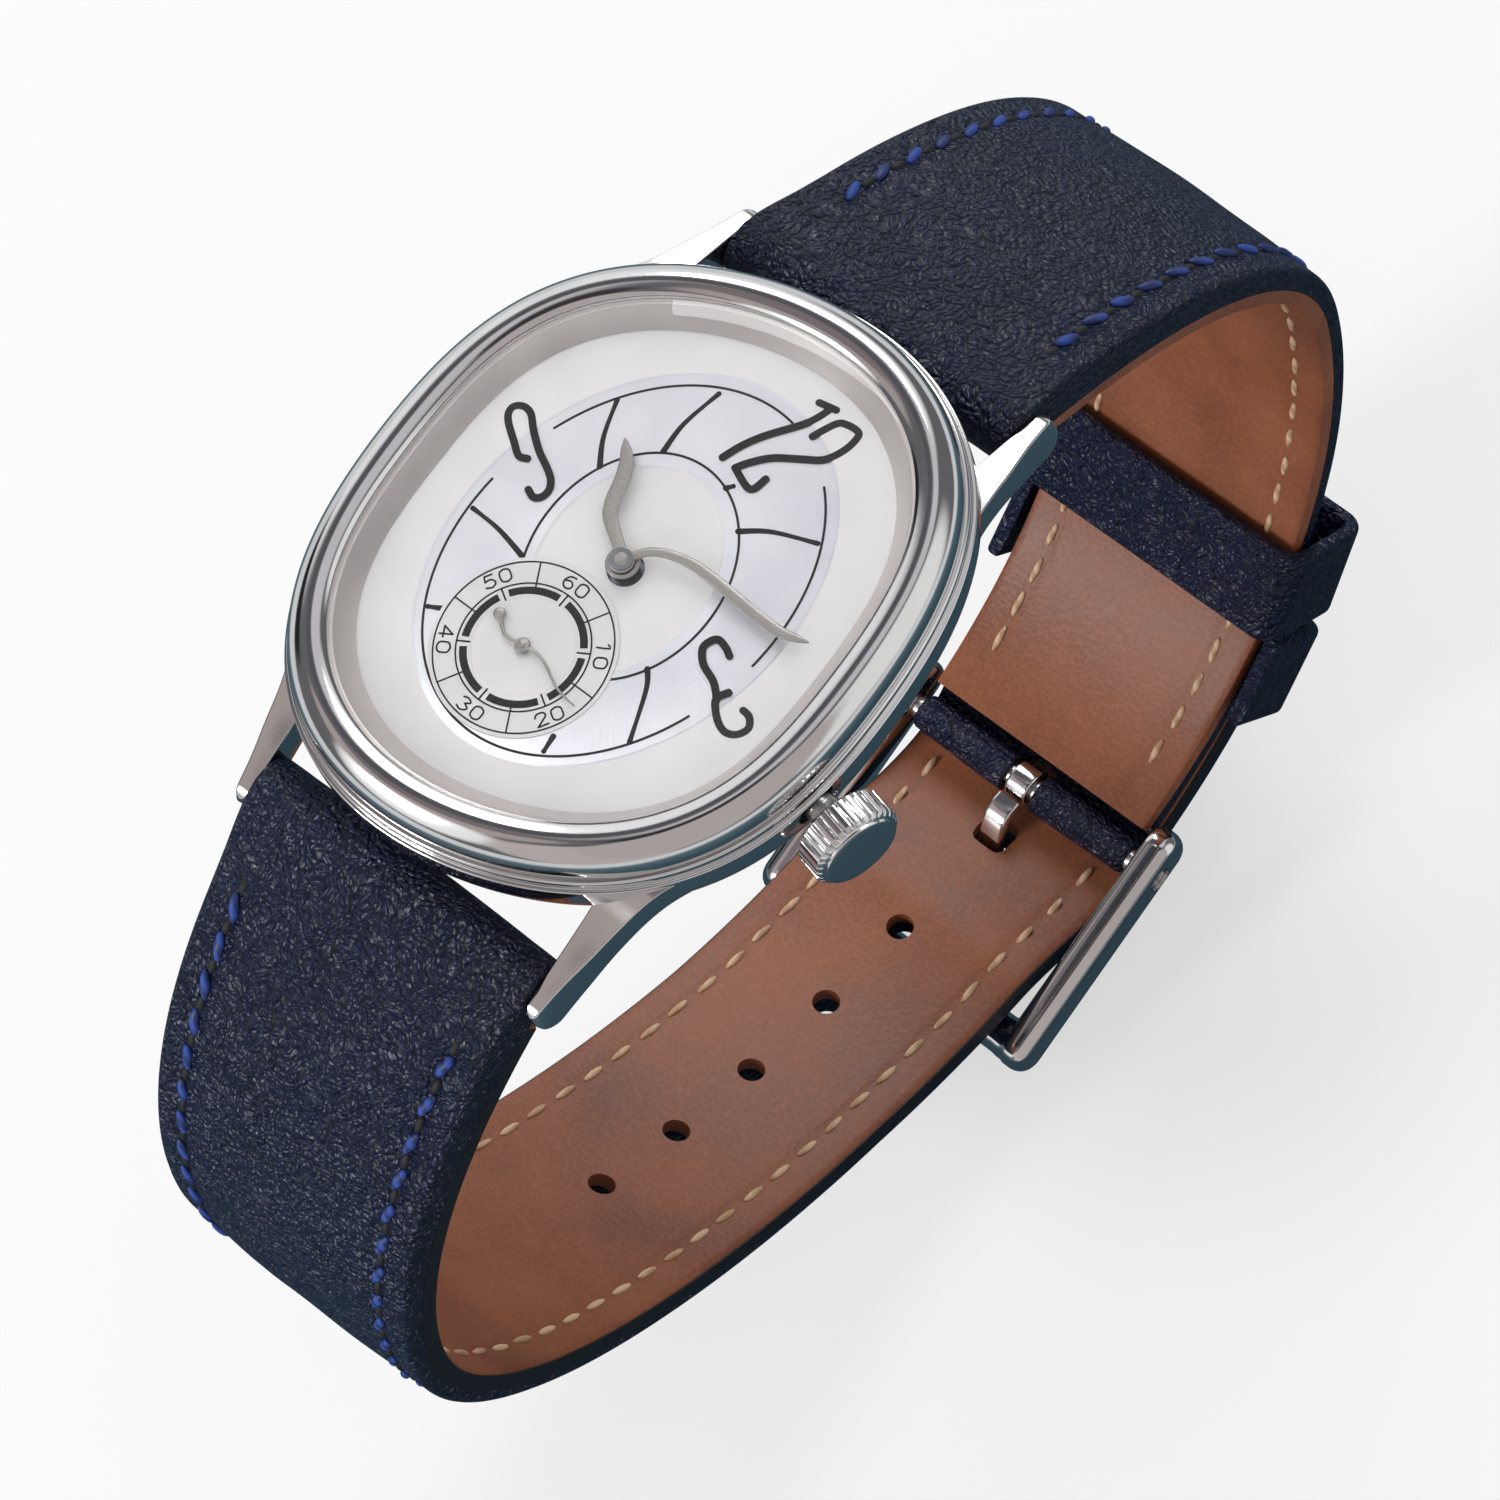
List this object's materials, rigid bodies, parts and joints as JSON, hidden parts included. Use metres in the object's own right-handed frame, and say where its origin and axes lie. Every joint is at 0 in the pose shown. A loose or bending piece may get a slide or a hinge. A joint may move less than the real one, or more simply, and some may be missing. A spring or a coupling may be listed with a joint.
{
  "type": "wristwatch",
  "caption": "Hand-wound wristwatch with a rounded cushion case, small seconds dial, fluted crown and a closed leather strap with a pin buckle.",
  "frame": {"origin": "middle of the case back's flat outer face, on the axis of the hour and minute hands", "axes": "+Z out of the dial, +Y to the strap half with the buckle (12 o'clock end of the case), +X to the crown side"},
  "size_m": [0.037, 0.0815, 0.0733],
  "materials": {
    "polished_steel": "polished",
    "brushed_steel": "brushed",
    "crystal": "clear, polished",
    "gasket": "matte",
    "clear_gasket": "satin",
    "dial_silver": "satin silver",
    "dial_ink": "matte print",
    "hand_metal": "satin",
    "plated_brass": "fine grained plating",
    "brass": "polished",
    "spring_steel": "satin",
    "blued_steel": "blued",
    "ruby": "polished",
    "ring_plastic": "satin",
    "navy_leather": "satin grained",
    "lining_leather": "smooth satin"
  },
  "bodies": {
    "head_and_strap": {"case_middle": "polished_steel", "bezel": "polished_steel", "crystal": "crystal", "crystal_gasket": "clear_gasket", "inner_flange": "dial_silver", "case_back": "brushed_steel", "case_back_gasket": "gasket", "crown_tube": "brushed_steel", "movement_ring": "ring_plastic", "case_clamps": "brushed_steel", "dial_plate": "dial_silver", "dial_print": "dial_ink", "main_plate": "plated_brass", "barrel_bridge": "plated_brass", "train_bridge": "plated_brass", "balance_cock": "plated_brass", "bridge_screws": "blued_steel", "jewels": "ruby", "mainspring": "spring_steel", "hairspring": "blued_steel", "strap_12_leather": "navy_leather", "strap_12_lining": "lining_leather", "strap_6_leather": "navy_leather", "strap_6_lining": "lining_leather", "spring_bars": "brushed_steel", "buckle_bar": "brushed_steel", "fixed_keeper": "navy_leather"},
    "minute_group": {"minute_hand": "hand_metal", "cannon_pinion": "brushed_steel", "centre_wheel": "brass"},
    "hour_group": {"hour_hand": "hand_metal", "hour_wheel": "brass"},
    "motion_wheel": {"minute_wheel": "brass"},
    "third_group": {"third_wheel": "brass"},
    "seconds_group": {"fourth_wheel": "brass", "seconds_hand": "hand_metal"},
    "escape_group": {"escape_wheel": "brushed_steel"},
    "barrel_group": {"barrel": "brass", "barrel_cover": "brass"},
    "lever": {"pallet_fork": "brushed_steel"},
    "balance_group": {"balance_wheel": "brass"},
    "crown_sleeve": {"crown_gasket": "gasket"},
    "crown_group": {"crown": "polished_steel", "winding_stem": "brushed_steel"},
    "pinion_group": {"winding_pinion": "brushed_steel"},
    "crown_wheel_group": {"crown_wheel": "brushed_steel"},
    "ratchet_group": {"ratchet_wheel": "brushed_steel", "barrel_arbor": "brushed_steel"},
    "buckle": {"buckle_frame": "polished_steel"},
    "tongue": {"buckle_tongue": "polished_steel"},
    "keeper": {"free_keeper": "navy_leather"}
  },
  "joints": [
    {"name": "minute_hand_turn", "type": "hinge", "parent": "head_and_strap", "child": "minute_group", "pos_m": [0, 0, 0.005], "axis": [0, 0, -1], "continuous": true},
    {"name": "hour_hand_turn", "type": "hinge", "parent": "head_and_strap", "child": "hour_group", "pos_m": [0, 0, 0.0055], "axis": [0, 0, -1], "continuous": true},
    {"name": "minute_wheel_turn", "type": "hinge", "parent": "head_and_strap", "child": "motion_wheel", "pos_m": [0.00161, 0.00178, 0.0051], "axis": [0, 0, -1], "continuous": true},
    {"name": "third_wheel_turn", "type": "hinge", "parent": "head_and_strap", "child": "third_group", "pos_m": [0.00104, -0.00438, 0.003], "axis": [0, 0, -1], "continuous": true},
    {"name": "seconds_hand_turn", "type": "hinge", "parent": "head_and_strap", "child": "seconds_group", "pos_m": [-0.00143, -0.00675, 0.003], "axis": [0, 0, -1], "continuous": true},
    {"name": "escape_wheel_turn", "type": "hinge", "parent": "head_and_strap", "child": "escape_group", "pos_m": [-0.00405, -0.00512, 0.003], "axis": [0, 0, -1], "continuous": true},
    {"name": "barrel_turn", "type": "hinge", "parent": "head_and_strap", "child": "barrel_group", "pos_m": [0.00387, 0.00385, 0.0023], "axis": [0, 0, -1], "continuous": true},
    {"name": "lever_swing", "type": "hinge", "parent": "head_and_strap", "child": "lever", "pos_m": [-0.00526, -0.00288, 0.0029], "axis": [0, 0, -1], "range_deg": [-4, 4]},
    {"name": "balance_swing", "type": "hinge", "parent": "head_and_strap", "child": "balance_group", "pos_m": [-0.00721, 0.00071, 0.0024], "axis": [0, 0, -1], "range_deg": [-140, 140]},
    {"name": "crown_pull", "type": "slide", "parent": "head_and_strap", "child": "crown_sleeve", "axis": [0.9781, -0.2079, 0], "range_m": [0, 0.0008]},
    {"name": "crown_turn", "type": "hinge", "parent": "crown_sleeve", "child": "crown_group", "pos_m": [0.01761, -0.00374, 0.0033], "axis": [0.9781, -0.2079, 0], "continuous": true},
    {"name": "winding_pinion_turn", "type": "hinge", "parent": "head_and_strap", "child": "pinion_group", "pos_m": [0.0088, -0.00187, 0.0033], "axis": [0.9781, -0.2079, 0], "continuous": true},
    {"name": "crown_wheel_turn", "type": "hinge", "parent": "head_and_strap", "child": "crown_wheel_group", "pos_m": [0.00743, -0.00158, 0.0016], "axis": [0, 0, 1], "continuous": true},
    {"name": "ratchet_wheel_turn", "type": "hinge", "parent": "head_and_strap", "child": "ratchet_group", "pos_m": [0.00387, 0.00385, 0.0012], "axis": [0, 0, 1], "continuous": true},
    {"name": "buckle_swing", "type": "hinge", "parent": "head_and_strap", "child": "buckle", "pos_m": [0, 0.01822, -0.05864], "axis": [1, 0, 0], "range_deg": [0, 3]},
    {"name": "tongue_swing", "type": "hinge", "parent": "buckle", "child": "tongue", "pos_m": [0, 0.01822, -0.05864], "axis": [1, 0, 0], "range_deg": [0, 2]},
    {"name": "keeper_shift", "type": "hinge", "parent": "head_and_strap", "child": "keeper", "pos_m": [0, 0.00919, -0.02779], "axis": [1, 0, 0], "range_deg": [0, 8]}
  ],
  "couplings": [
    {"joint": "hour_hand_turn", "follows": "minute_hand_turn", "ratio": 0.083333},
    {"joint": "minute_wheel_turn", "follows": "minute_hand_turn", "ratio": -0.33333},
    {"joint": "third_wheel_turn", "follows": "minute_hand_turn", "ratio": -8},
    {"joint": "seconds_hand_turn", "follows": "minute_hand_turn", "ratio": 60},
    {"joint": "escape_wheel_turn", "follows": "minute_hand_turn", "ratio": -600},
    {"joint": "barrel_turn", "follows": "minute_hand_turn", "ratio": -0.16667},
    {"joint": "winding_pinion_turn", "follows": "crown_turn", "ratio": 1},
    {"joint": "crown_wheel_turn", "follows": "crown_turn", "ratio": 0.6},
    {"joint": "ratchet_wheel_turn", "follows": "crown_turn", "ratio": -0.4}
  ]
}
